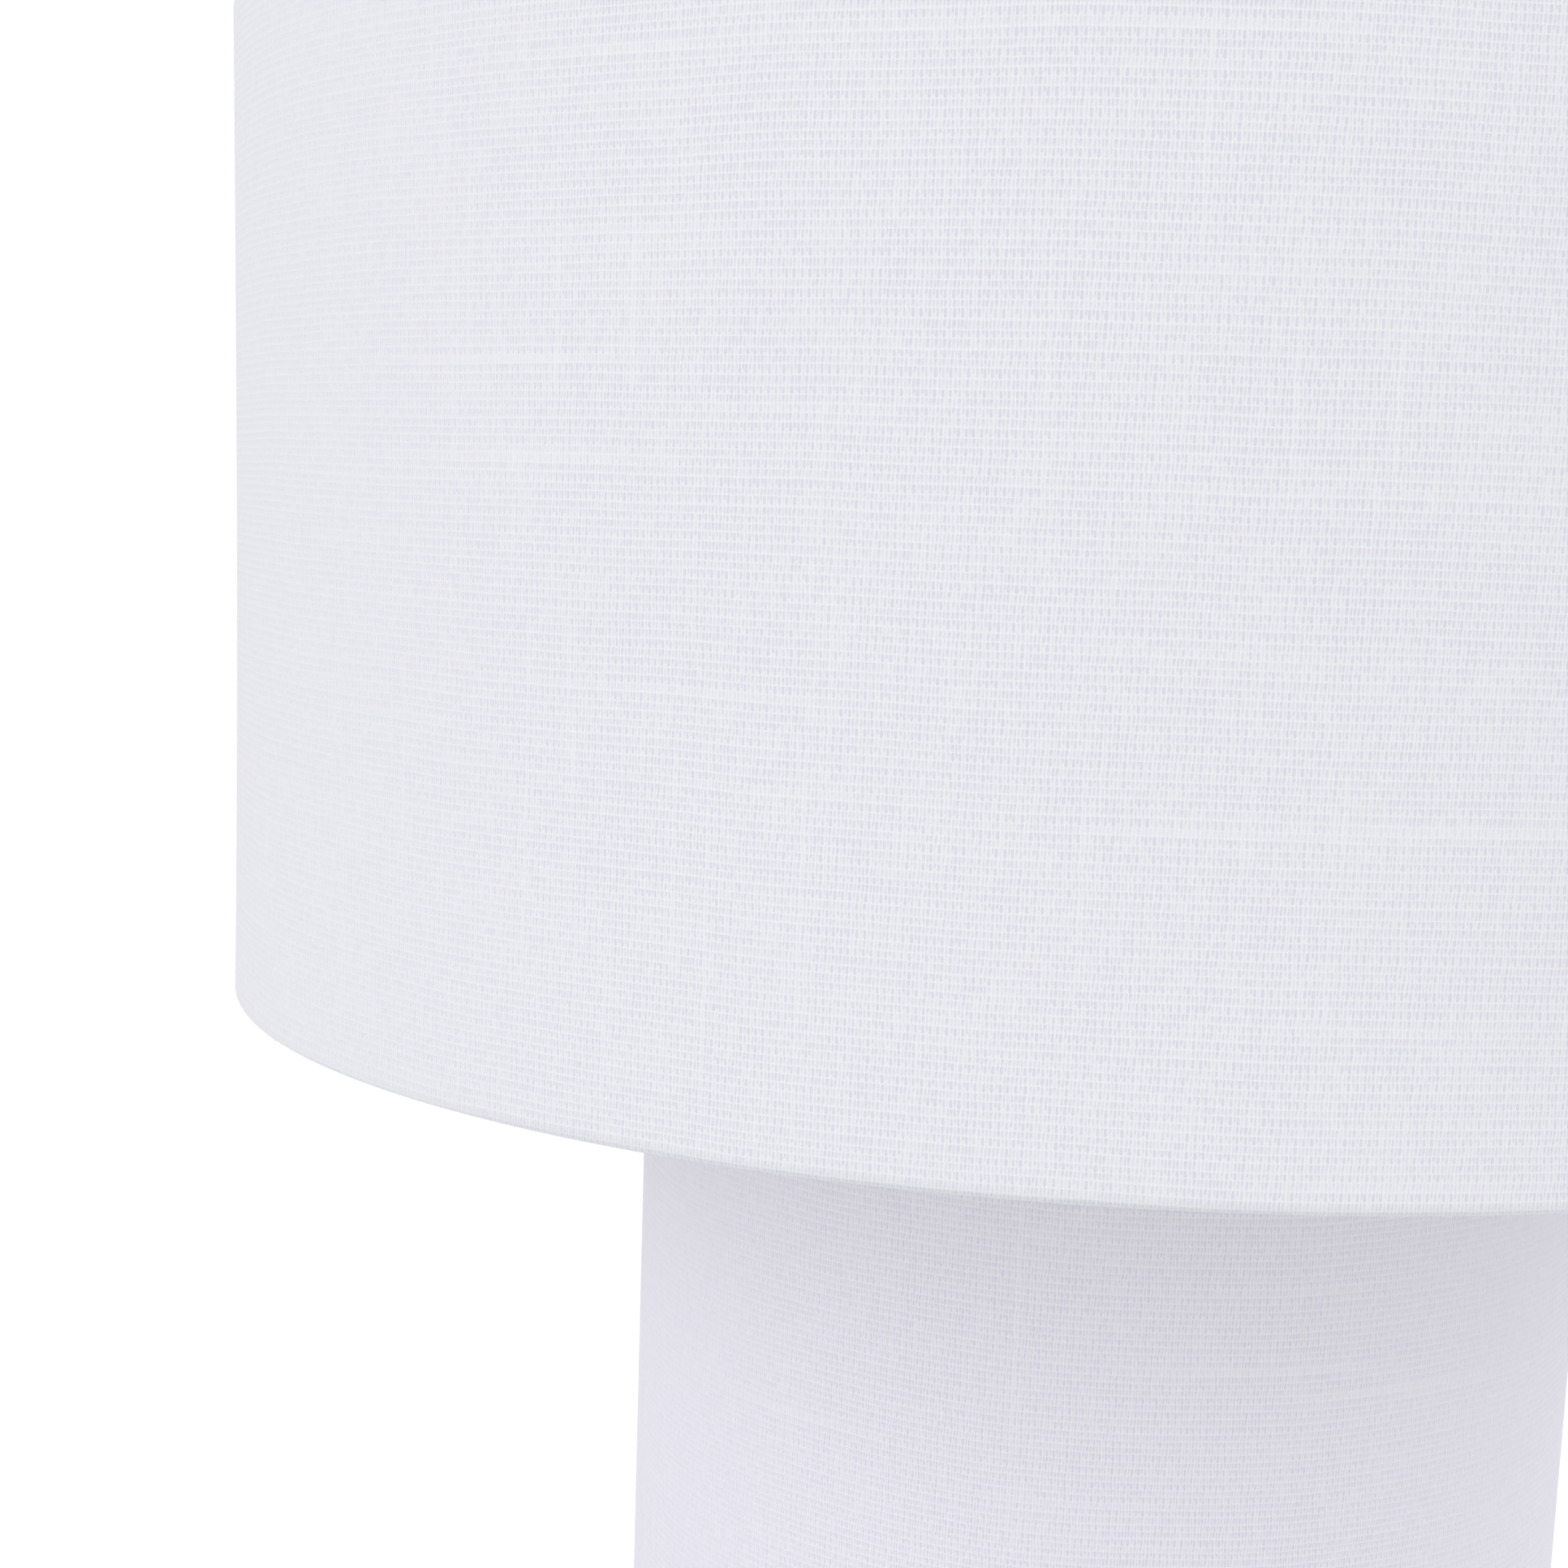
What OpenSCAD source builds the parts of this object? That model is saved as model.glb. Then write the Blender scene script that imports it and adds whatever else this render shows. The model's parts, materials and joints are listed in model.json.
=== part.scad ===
/* [Shade] */
// Outer diameter of the upper drum
upper_drum_d = 400; // [340:10:460]
// Height of the upper drum
upper_drum_h = 206; // [180:2:260]
// Outer diameter of the lower drum
lower_drum_d = 216; // [180:2:240]
// Height of the lower drum
lower_drum_h = 300; // [220:10:380]
// Gap from the upper drum's bottom edge down to the lower drum's top edge
drum_step = 6; // [5:1:14]
// Thickness of the cotton cover
cover_t = 1; // [0.8:0.1:1.5]
// Thickness of the stiff liner behind the cotton
liner_t = 0.5; // [0.4:0.1:0.8]
// Width of the cotton turned in over each hoop
hem_w = 6; // [5:0.5:9]
// Radius of the wire in the hoops
hoop_wire_r = 1.6; // [1.4:0.1:2]
// Radius of the wire in the spider arms
arm_wire_r = 1.8; // [1.5:0.1:2]

/* [Stand] */
// Height of the whole lamp
lamp_h = 1500; // [1400:10:1650]
// Bare stem between the lower drum and the hub
stem_gap = 18; // [12:1:40]
// Outer radius of the stem tube
stem_r = 8; // [7:0.5:9]
// Outer radius of the hub
hub_r = 36; // [34:1:38]
// Height of the hub
hub_h = 56; // [52:1:64]
// Distance of the leg pivots from the lamp's axis
pivot_r = 56; // [56:1:62]
// Lean of a leg from upright
splay = 13; // [10:0.5:16]
// Radius of a leg at its ferrule
leg_top_r = 14; // [13:0.5:15]
// Radius of a leg at its foot
leg_foot_r = 9; // [8:0.5:11]

/* [Bulb] */
// Radius of the bulb's globe
globe_r = 47.5; // [40:0.5:50]

/* [Hidden] */
$fn = 96;
eps = 0.01;

// Shade levels, measured up from the floor
upper_r = upper_drum_d / 2;
lower_r = lower_drum_d / 2;
upper_z1 = lamp_h;
upper_z0 = upper_z1 - upper_drum_h;
lower_z1 = upper_z0 - drum_step;
lower_z0 = lower_z1 - lower_drum_h;
slack = 0.1;
hoop_in = cover_t + liner_t + hoop_wire_r + 2 * slack;
hoop_rise = cover_t + hoop_wire_r + slack;
fitter_z = upper_z0 + hoop_rise;
lower_hoop_z = lower_z1 - hoop_rise;

// Spider rings, stacked on the lampholder's shoulder
ring_t = 3;
ring_hole_r = 21;
upper_ring_r = 27;
lower_ring_r = 24.5;
upper_ring_z = fitter_z - 1.2;
lower_ring_z = upper_ring_z - ring_t;
arm_angles = [90, 210, 330];
// Arms reach a little into their hoops, and their ends keep clear of the turned-in cotton
arm_bite = 0.5;
upper_arm_z = fitter_z + 0.3;
lower_arm_z = lower_ring_z + 1;
lower_arm_end_z = lower_hoop_z - 0.6;

// Lampholder levels
shoulder_z = lower_ring_z;
shell_z0 = shoulder_z - 14;
shell_z1 = shoulder_z + 18;
cap_z0 = shell_z0 - 28;
insert_z = shell_z0 + 4;
insert_t = 8;
thread_r = 20;
holder_r = 21.5;
shade_ring_r = 24;
grip_count = 24;
nipple_r = 5;

// Bulb levels
bulb_z0 = insert_z + insert_t + 2.5;
neck_z0 = bulb_z0 + 24;
globe_z = neck_z0 + 72;
globe_t = 1;

// Stem and hub levels
stem_z1 = cap_z0 - 2;
hub_z1 = lower_z0 - stem_gap;
hub_z0 = hub_z1 - hub_h;
hub_roof = 8;
hub_wall = 7;
stem_z0 = hub_z1 - hub_roof - 12;
lid_t = 4;
lid_screw_r = 1.5;
pivot_z = hub_z0 + 26;
dimmer_z = hub_z0 + 24;
shaft_r = 3;
knob_r = 10.4;
gland_r = 3.5;

// Pivots and legs; each leg is drawn with its pivot at the origin
tongue_t = 18;
tongue_r = 10;
washer_t = 1;
lug_gap = tongue_t + 2 * washer_t + 0.4;
lug_t = 7;
lug_r = 11;
bolt_r = 4;
bush_r = 6;
run_gap = 0.06;
leg_angles = [90, 210, 330];
ferrule_r = 17;
ferrule_z1 = -22;
ferrule_z0 = -66;
socket_z1 = -30;
pin_r = 2.4;
pin_hole_r = 2.5;
pin_z = -50;
foot_r = 13;
foot_h = 34;
heel = 8;
leg_reach = pivot_z / cos(splay);
foot_reach = pivot_r + pivot_z * tan(splay) + foot_r / cos(splay);

// The lamp's axis stands in front of the middle of its footprint
axis_y = -(foot_reach - upper_r) / 2;

// ---- helpers ----
module on_axis() {
    translate([0, axis_y, 0]) children();
}

module tube(r_out, r_in, z0, z1) {
    translate([0, 0, z0]) difference() {
        cylinder(r = r_out, h = z1 - z0);
        translate([0, 0, -1]) cylinder(r = r_in, h = z1 - z0 + 2);
    }
}

module disc(r, z0, z1) {
    translate([0, 0, z0]) cylinder(r = r, h = z1 - z0);
}

module hoop(r, z) {
    translate([0, 0, z]) rotate_extrude($fn = 160) translate([r, 0]) circle(r = hoop_wire_r, $fn = 24);
}

// A drum's cotton, turned in over the hoops at both edges
module cover(r, z0, z1) {
    color([0.94, 0.94, 0.96]) rotate_extrude($fn = 160) difference() {
        translate([r - hem_w, z0]) square([hem_w, z1 - z0]);
        translate([r - hem_w - 1, z0 + cover_t]) square([hem_w + 1 - cover_t, z1 - z0 - 2 * cover_t]);
    }
}

module liner(r, z0, z1) {
    edge = cover_t + slack;
    color([0.97, 0.97, 0.95]) tube(r - edge, r - edge - liner_t, z0 + edge, z1 - edge, $fn = 160);
}

// A round arm that runs from one radius and height out to another
module arm(r_a, z_a, r_b, z_b) {
    run = r_b - r_a;
    rise = z_b - z_a;
    translate([r_a, 0, z_a]) rotate([0, 90 - atan2(rise, run), 0])
        cylinder(r = arm_wire_r, h = norm([run, rise]), $fn = 32);
}

module at_pivot(angle) {
    rotate([0, 0, angle]) translate([pivot_r, 0, pivot_z]) children();
}

// Leans a leg out from its pivot
module at_leg(angle) {
    on_axis() at_pivot(angle) rotate([0, -splay, 0]) children();
}

// A cylinder across a pivot, from one side distance to another
module cross(r, y0, y1, sides = 48) {
    translate([0, y1, 0]) rotate([90, 0, 0]) cylinder(r = r, h = y1 - y0, $fn = sides);
}

// ---- shade ----
module upper_cover() {
    on_axis() cover(upper_r, upper_z0, upper_z1);
}

module upper_liner() {
    on_axis() liner(upper_r, upper_z0, upper_z1);
}

module upper_top_hoop() {
    color([0.9, 0.9, 0.9]) on_axis() hoop(upper_r - hoop_in, upper_z1 - hoop_rise);
}

module upper_bottom_hoop() {
    color([0.9, 0.9, 0.9]) on_axis() hoop(upper_r - hoop_in, fitter_z);
}

module upper_spider() {
    color([0.9, 0.9, 0.9]) on_axis() {
        tube(upper_ring_r, ring_hole_r, upper_ring_z, upper_ring_z + ring_t);
        for (a = arm_angles) rotate([0, 0, a])
            arm(upper_ring_r - 1, upper_arm_z, upper_r - hoop_in - hoop_wire_r + arm_bite, upper_arm_z);
    }
}

module lower_cover() {
    on_axis() cover(lower_r, lower_z0, lower_z1);
}

module lower_liner() {
    on_axis() liner(lower_r, lower_z0, lower_z1);
}

module lower_top_hoop() {
    color([0.9, 0.9, 0.9]) on_axis() hoop(lower_r - hoop_in, lower_hoop_z);
}

module lower_bottom_hoop() {
    color([0.9, 0.9, 0.9]) on_axis() hoop(lower_r - hoop_in, lower_z0 + hoop_rise);
}

module lower_spider() {
    color([0.9, 0.9, 0.9]) on_axis() {
        tube(lower_ring_r, ring_hole_r, lower_ring_z, lower_ring_z + ring_t);
        for (a = arm_angles) rotate([0, 0, a + 60])
            arm(lower_ring_r - 0.4, lower_arm_z, lower_r - hoop_in - hoop_wire_r + arm_bite, lower_arm_end_z);
    }
}

// ---- lampholder ----
module shade_ring() {
    ring_z0 = upper_ring_z + ring_t;
    color([0.12, 0.12, 0.12]) on_axis() difference() {
        union() {
            tube(shade_ring_r, thread_r + run_gap, ring_z0, ring_z0 + 6);
            for (i = [1 : grip_count]) rotate([0, 0, i * 360 / grip_count])
                translate([shade_ring_r, 0, ring_z0]) cylinder(r = 0.9, h = 6, $fn = 16);
        }
        disc(thread_r + run_gap, ring_z0 - 1, ring_z0 + 7);
    }
}

module holder_shell() {
    color([0.12, 0.12, 0.12]) on_axis() difference() {
        union() {
            disc(thread_r, shell_z0, shell_z1);
            disc(23.4, shoulder_z - 3, shoulder_z);
            disc(holder_r, shell_z0, shoulder_z - 3 + eps);
            disc(18, shell_z0 - 6, shell_z0 + eps);
        }
        disc(17.6, insert_z, shell_z1 + 1);
        disc(15, shell_z0 - 7, insert_z + eps);
    }
}

module holder_cap() {
    color([0.12, 0.12, 0.12]) on_axis() difference() {
        union() {
            disc(8, cap_z0, cap_z0 + 7);
            translate([0, 0, cap_z0 + 5]) cylinder(r1 = 12, r2 = holder_r, h = 9);
            disc(holder_r, cap_z0 + 14 - eps, shell_z0);
        }
        disc(18 + run_gap, cap_z0 + 15, shell_z0 + 1);
        disc(nipple_r + run_gap, cap_z0 - 1, cap_z0 + 16);
    }
}

module holder_insert() {
    color([0.93, 0.92, 0.88]) on_axis() difference() {
        disc(17.5, insert_z, insert_z + insert_t);
        for (x = [-8, 8]) translate([x, 0, insert_z - 1]) cylinder(r = 1.6, h = insert_t + 2, $fn = 24);
    }
}

module screw_sleeve() {
    color([0.8, 0.65, 0.3]) on_axis() tube(14.2, 13.6, insert_z + insert_t, shell_z1 - 1);
}

module centre_contact() {
    color([0.8, 0.65, 0.3]) on_axis() disc(4, insert_z + insert_t, insert_z + insert_t + 1.5);
}

// ---- bulb ----
module bulb_cap() {
    color([0.8, 0.8, 0.82]) on_axis() {
        disc(4, bulb_z0 - 0.9, bulb_z0 + eps);
        translate([0, 0, bulb_z0]) cylinder(r1 = 5, r2 = 13.2, h = 3);
        disc(13.2, bulb_z0 + 3 - eps, neck_z0);
    }
}

module bulb_neck() {
    color([0.95, 0.95, 0.95]) on_axis() translate([0, 0, neck_z0])
        rotate_extrude() polygon([[0, 0], [13.8, 0], [15.5, 3], [23, 22], [23, 25], [0, 25]]);
}

module globe_profile(r, grow) {
    intersection() {
        union() {
            translate([0, globe_z]) circle(r = r, $fn = 128);
            polygon([
                [0, neck_z0 + 25], [23 + grow, neck_z0 + 25],
                [r * cos(38), globe_z - r * sin(38)], [0, globe_z - r * sin(38)]
            ]);
        }
        translate([0, neck_z0 + 25]) square([r + 1, 2 * r + 72]);
    }
}

module bulb_globe() {
    color([0.97, 0.96, 0.93]) on_axis() rotate_extrude() difference() {
        globe_profile(globe_r, 0);
        globe_profile(globe_r - globe_t, -globe_t);
    }
}

// ---- stem ----
module holder_nipple() {
    color([0.8, 0.65, 0.3]) on_axis() tube(nipple_r, 3.5, stem_z1 - 14, cap_z0 + 15);
}

module stem_plug() {
    color([0.75, 0.75, 0.77]) on_axis() difference() {
        union() {
            disc(stem_r - 1.8, stem_z1 - 15, stem_z1);
            disc(stem_r, stem_z1, cap_z0);
        }
        disc(nipple_r + run_gap, stem_z1 - 16, cap_z0 + 1);
    }
}

module stem_tube() {
    color([0.1, 0.1, 0.1]) on_axis() tube(stem_r, stem_r - 1.75, stem_z0, stem_z1);
}

module inner_lead() {
    color([0.9, 0.9, 0.9]) on_axis() disc(2.5, hub_z0 + 10, cap_z0 + 20);
}

module stem_collar() {
    color([0.1, 0.1, 0.1]) on_axis() difference() {
        union() {
            disc(17, hub_z1, hub_z1 + 4);
            translate([0, 0, hub_z1 + 4]) cylinder(r1 = 17, r2 = 12, h = 6);
        }
        disc(stem_r + run_gap, hub_z1 - 1, hub_z1 + 11);
    }
}

module stem_nut() {
    nut_z1 = hub_z1 - hub_roof;
    color([0.75, 0.75, 0.77]) on_axis() difference() {
        translate([0, 0, nut_z1 - 6]) cylinder(r = 13, h = 6, $fn = 6);
        disc(stem_r + run_gap, nut_z1 - 7, nut_z1 + 1);
    }
}

// ---- hub ----
// The lid's screws, seen from their heads
module at_lid_screws() {
    for (a = leg_angles) rotate([0, 0, a + 60])
        translate([hub_r - hub_wall / 2, 0, hub_z0 - lid_t]) children();
}

module hub_body() {
    color([0.1, 0.1, 0.1]) on_axis() difference() {
        union() {
            disc(hub_r, hub_z0, hub_z1 - 3);
            translate([0, 0, hub_z1 - 3]) cylinder(r1 = hub_r, r2 = hub_r - 3, h = 3);
            for (a = leg_angles) at_pivot(a)
                for (side = [-1, 1]) {
                    mid = side * (lug_gap + lug_t) / 2;
                    cross(lug_r, mid - lug_t / 2, mid + lug_t / 2);
                    translate([-pivot_r + hub_r - 4, mid - lug_t / 2, -lug_r])
                        cube([pivot_r - hub_r + 4, lug_t, 2 * lug_r]);
                }
        }
        disc(hub_r - hub_wall, hub_z0 - 1, hub_z1 - hub_roof);
        disc(stem_r + run_gap, hub_z1 - hub_roof - 1, hub_z1 + 1);
        for (a = leg_angles) at_pivot(a) cross(bolt_r + run_gap, -40, 40);
        at_lid_screws() translate([0, 0, lid_t - 1]) cylinder(r = lid_screw_r, h = 11, $fn = 24);
        translate([0, 0, dimmer_z]) rotate([90, 0, 0]) cylinder(r = 4.5, h = hub_r + 1, $fn = 48);
    }
}

module hub_lid() {
    color([0.1, 0.1, 0.1]) on_axis() difference() {
        disc(hub_r, hub_z0 - lid_t, hub_z0);
        disc(6 + run_gap, hub_z0 - lid_t - 1, hub_z0 + 1);
        at_lid_screws() translate([0, 0, -1]) cylinder(r = lid_screw_r + 0.1, h = lid_t + 2, $fn = 24);
    }
}

module lid_screws() {
    color([0.75, 0.75, 0.77]) on_axis() at_lid_screws() difference() {
        union() {
            cylinder(r = lid_screw_r, h = lid_t + 8, $fn = 24);
            translate([0, 0, -2]) cylinder(r = 2.8, h = 2, $fn = 32);
        }
        translate([0, 0, -3]) cylinder(r = 1.2, h = 2.2, $fn = 6);
    }
}

module cord_gland() {
    color([0.12, 0.12, 0.12]) on_axis() difference() {
        union() {
            disc(6, hub_z0 - lid_t, hub_z0 + 7);
            translate([0, 0, hub_z0 - lid_t - 4]) cylinder(r = 9, h = 4, $fn = 6);
            translate([0, 0, hub_z0 - lid_t - 10]) cylinder(r1 = 5.5, r2 = 7.5, h = 6);
        }
        disc(gland_r, hub_z0 - lid_t - 11, hub_z0 + 8);
    }
}

module gland_nut() {
    color([0.12, 0.12, 0.12]) on_axis() difference() {
        translate([0, 0, hub_z0]) cylinder(r = 9, h = 4, $fn = 6);
        disc(6 + run_gap, hub_z0 - 1, hub_z0 + 5);
    }
}

// ---- dimmer ----
module toward_front(y0, y1, r, sides = 48) {
    on_axis() translate([0, -y0, dimmer_z]) rotate([90, 0, 0]) cylinder(r = r, h = y1 - y0, $fn = sides);
}

module dimmer_module() {
    color([0.25, 0.3, 0.25]) difference() {
        union() {
            on_axis() translate([-12, -25, dimmer_z - 10]) cube([24, 13, 20]);
            toward_front(24, hub_r + 4, 4.4);
        }
        toward_front(20, hub_r + 5, shaft_r + run_gap);
    }
}

module dimmer_nut() {
    color([0.75, 0.75, 0.77]) difference() {
        toward_front(hub_r, hub_r + 2.5, 7, 6);
        toward_front(hub_r - 1, hub_r + 4, 4.4 + run_gap);
    }
}

module dimmer_shaft() {
    color([0.75, 0.75, 0.77]) toward_front(20.5, hub_r + 12, shaft_r);
}

module dimmer_knob() {
    color([0.1, 0.1, 0.1]) difference() {
        union() {
            toward_front(hub_r + 4.6, hub_r + 19, knob_r);
            for (i = [1 : grip_count])
                on_axis() translate([0, 0, dimmer_z]) rotate([0, i * 360 / grip_count, 0])
                    translate([knob_r, -hub_r - 4.6, 0]) rotate([90, 0, 0])
                        cylinder(r = 0.7, h = 12.4, $fn = 16);
        }
        toward_front(hub_r + 4, hub_r + 12, shaft_r);
        on_axis() translate([-0.6, -hub_r - 20, dimmer_z + 3]) cube([1.2, 2, knob_r]);
    }
}

// ---- pivots ----
module pivot_bolts() {
    lug_out = lug_gap / 2 + lug_t;
    color([0.75, 0.75, 0.77]) on_axis() for (a = leg_angles) at_pivot(a) difference() {
        union() {
            cross(bolt_r, -lug_out - 8, lug_out + eps);
            cross(7, lug_out, lug_out + 5);
        }
        cross(2.5, lug_out + 2, lug_out + 6, 6);
    }
}

module pivot_nuts() {
    lug_out = lug_gap / 2 + lug_t;
    color([0.75, 0.75, 0.77]) on_axis() for (a = leg_angles) at_pivot(a) difference() {
        cross(7.5, -lug_out - 6.5, -lug_out, 6);
        cross(bolt_r + run_gap, -lug_out - 7, -lug_out + 1);
    }
}

module pivot_washers() {
    color([0.93, 0.92, 0.88]) on_axis() for (a = leg_angles, side = [-1, 1]) at_pivot(a) difference() {
        mid = side * (lug_gap - washer_t) / 2;
        cross(8.5, mid - washer_t / 2, mid + washer_t / 2);
        cross(bolt_r + run_gap, mid - washer_t, mid + washer_t);
    }
}

// ---- legs ----
module leg_wood(angle) {
    z0 = -leg_reach + heel;
    color([0.75, 0.57, 0.38]) at_leg(angle) difference() {
        union() {
            disc(leg_top_r, ferrule_z0, socket_z1);
            translate([0, 0, z0]) cylinder(r1 = leg_foot_r, r2 = leg_top_r, h = ferrule_z0 + eps - z0);
        }
        translate([0, 0, pin_z]) cross(pin_hole_r, -leg_top_r - 1, leg_top_r + 1);
    }
}

module leg_ferrule(angle) {
    color([0.1, 0.1, 0.1]) at_leg(angle) difference() {
        union() {
            cross(tongue_r, -tongue_t / 2, tongue_t / 2);
            translate([-tongue_r, -tongue_t / 2, ferrule_z1 - 2])
                cube([2 * tongue_r, tongue_t, -ferrule_z1 + 2]);
            disc(ferrule_r, ferrule_z0, ferrule_z1 - 3);
            translate([0, 0, ferrule_z1 - 3]) cylinder(r1 = ferrule_r, r2 = ferrule_r - 3, h = 3);
        }
        disc(leg_top_r + run_gap, ferrule_z0 - 1, socket_z1);
        cross(bush_r, -tongue_t, tongue_t);
        translate([0, 0, pin_z]) cross(pin_hole_r, -ferrule_r - 1, ferrule_r + 1);
    }
}

module leg_bush(angle) {
    color([0.93, 0.92, 0.88]) at_leg(angle) difference() {
        cross(bush_r - 0.02, -tongue_t / 2, tongue_t / 2);
        cross(bolt_r + run_gap, -tongue_t, tongue_t);
    }
}

module leg_pin(angle) {
    color([0.75, 0.75, 0.77]) at_leg(angle) translate([0, 0, pin_z]) cross(pin_r, -ferrule_r, ferrule_r);
}

module leg_foot(angle) {
    color([0.13, 0.13, 0.13]) difference() {
        at_leg(angle) difference() {
            disc(foot_r, -leg_reach - 5, -leg_reach + foot_h);
            translate([0, 0, -leg_reach + heel])
                cylinder(r1 = leg_foot_r + run_gap, r2 = leg_foot_r + 0.4, h = foot_h - heel + 4);
        }
        translate([-500, -500, -50]) cube([1000, 1000, 50]);
    }
}

module rear_leg() { leg_wood(leg_angles[0]); }
module rear_ferrule() { leg_ferrule(leg_angles[0]); }
module rear_bush() { leg_bush(leg_angles[0]); }
module rear_pin() { leg_pin(leg_angles[0]); }
module rear_foot() { leg_foot(leg_angles[0]); }
module left_leg() { leg_wood(leg_angles[1]); }
module left_ferrule() { leg_ferrule(leg_angles[1]); }
module left_bush() { leg_bush(leg_angles[1]); }
module left_pin() { leg_pin(leg_angles[1]); }
module left_foot() { leg_foot(leg_angles[1]); }
module right_leg() { leg_wood(leg_angles[2]); }
module right_ferrule() { leg_ferrule(leg_angles[2]); }
module right_bush() { leg_bush(leg_angles[2]); }
module right_pin() { leg_pin(leg_angles[2]); }
module right_foot() { leg_foot(leg_angles[2]); }

upper_cover();
upper_liner();
upper_top_hoop();
upper_bottom_hoop();
upper_spider();
lower_cover();
lower_liner();
lower_top_hoop();
lower_bottom_hoop();
lower_spider();
shade_ring();
holder_shell();
holder_cap();
holder_insert();
screw_sleeve();
centre_contact();
bulb_cap();
bulb_neck();
bulb_globe();
holder_nipple();
stem_plug();
stem_tube();
inner_lead();
stem_collar();
stem_nut();
hub_body();
hub_lid();
lid_screws();
cord_gland();
gland_nut();
dimmer_module();
dimmer_nut();
dimmer_shaft();
dimmer_knob();
pivot_bolts();
pivot_nuts();
pivot_washers();
rear_leg();
rear_ferrule();
rear_bush();
rear_pin();
rear_foot();
left_leg();
left_ferrule();
left_bush();
left_pin();
left_foot();
right_leg();
right_ferrule();
right_bush();
right_pin();
right_foot();
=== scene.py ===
import json
import math

import bmesh
import bpy
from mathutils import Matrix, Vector


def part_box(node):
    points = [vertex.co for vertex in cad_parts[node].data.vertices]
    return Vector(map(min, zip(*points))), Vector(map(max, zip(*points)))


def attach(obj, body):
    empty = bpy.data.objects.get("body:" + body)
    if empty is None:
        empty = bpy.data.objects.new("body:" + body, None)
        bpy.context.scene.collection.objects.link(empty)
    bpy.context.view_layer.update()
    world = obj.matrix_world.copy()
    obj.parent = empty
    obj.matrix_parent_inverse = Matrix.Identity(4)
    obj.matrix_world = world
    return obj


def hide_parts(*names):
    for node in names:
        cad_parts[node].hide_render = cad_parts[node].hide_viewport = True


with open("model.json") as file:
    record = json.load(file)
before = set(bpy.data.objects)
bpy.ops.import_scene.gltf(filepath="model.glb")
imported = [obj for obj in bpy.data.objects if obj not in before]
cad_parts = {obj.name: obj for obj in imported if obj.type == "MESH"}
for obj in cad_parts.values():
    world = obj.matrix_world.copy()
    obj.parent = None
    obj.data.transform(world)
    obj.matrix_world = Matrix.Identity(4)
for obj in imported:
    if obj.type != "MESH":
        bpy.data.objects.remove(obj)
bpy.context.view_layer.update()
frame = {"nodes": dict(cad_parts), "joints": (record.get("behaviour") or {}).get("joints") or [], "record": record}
scene = bpy.context.scene
print("frame loaded")

stemLow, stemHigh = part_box("stem_tube")
axisX = (stemLow.x + stemHigh.x) / 2  # the lamp's axis, which stands a little in front of the origin
axisY = (stemLow.y + stemHigh.y) / 2


# ---- small helpers ----
def newObject(name, mesh):
    piece = bpy.data.objects.new(name, mesh)
    scene.collection.objects.link(piece)
    return piece


def shadeSmooth(mesh):
    mesh.polygons.foreach_set("use_smooth", [True] * len(mesh.polygons))


def addNode(tree, kind, **values):
    node = tree.nodes.new(kind)
    for key, value in values.items():
        setattr(node, key, value)
    return node


def feed(tree, socket, value):
    if value is None:
        return
    if isinstance(value, bpy.types.NodeSocket):
        tree.links.new(value, socket)
    else:
        socket.default_value = value


def calc(tree, operation, a, b=None, c=None, clamp=False):
    node = addNode(tree, "ShaderNodeMath", operation=operation, use_clamp=clamp)
    for socket, value in zip(node.inputs, (a, b, c)):
        feed(tree, socket, value)
    return node.outputs[0]


def ramp(tree, value, low, high, outLow=0.0, outHigh=1.0):
    node = addNode(tree, "ShaderNodeMapRange", interpolation_type="SMOOTHSTEP")
    for name, setting in (("Value", value), ("From Min", low), ("From Max", high),
                          ("To Min", outLow), ("To Max", outHigh)):
        feed(tree, node.inputs[name], setting)
    return node.outputs["Result"]


def joinXyz(tree, x, y, z=0.0):
    node = addNode(tree, "ShaderNodeCombineXYZ")
    for socket, value in zip(node.inputs, (x, y, z)):
        feed(tree, socket, value)
    return node.outputs[0]


def noise(tree, vector, scale, detail=2.0, roughness=0.5):
    node = addNode(tree, "ShaderNodeTexNoise", noise_dimensions="3D")
    feed(tree, node.inputs["Vector"], vector)
    feed(tree, node.inputs["Scale"], scale)
    feed(tree, node.inputs["Detail"], detail)
    feed(tree, node.inputs["Roughness"], roughness)
    return node.outputs["Fac"]


def mixColour(tree, share, a, b):
    node = addNode(tree, "ShaderNodeMix", data_type="RGBA")
    feed(tree, node.inputs[0], share)
    feed(tree, node.inputs[6], a)
    feed(tree, node.inputs[7], b)
    return node.outputs[2]


def newGroup(name, ins, outs):
    tree = bpy.data.node_groups.new(name, "ShaderNodeTree")
    for label, kind, value in ins:
        socket = tree.interface.new_socket(name=label, in_out="INPUT", socket_type=kind)
        if value is not None:
            socket.default_value = value
    for label, kind in outs:
        tree.interface.new_socket(name=label, in_out="OUTPUT", socket_type=kind)
    return tree, addNode(tree, "NodeGroupInput"), addNode(tree, "NodeGroupOutput")


def useGroup(tree, group, **values):
    node = addNode(tree, "ShaderNodeGroup", node_tree=group)
    for label, value in values.items():
        feed(tree, node.inputs[label], value)
    return node


def newMaterial(name):
    material = bpy.data.materials.new(name)
    material.use_nodes = True
    tree = material.node_tree
    shader = tree.nodes["Principled BSDF"]
    return material, tree, shader


def setShader(tree, shader, **values):
    for label, value in values.items():
        feed(tree, shader.inputs[label.replace("_", " ")], value)


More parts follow.
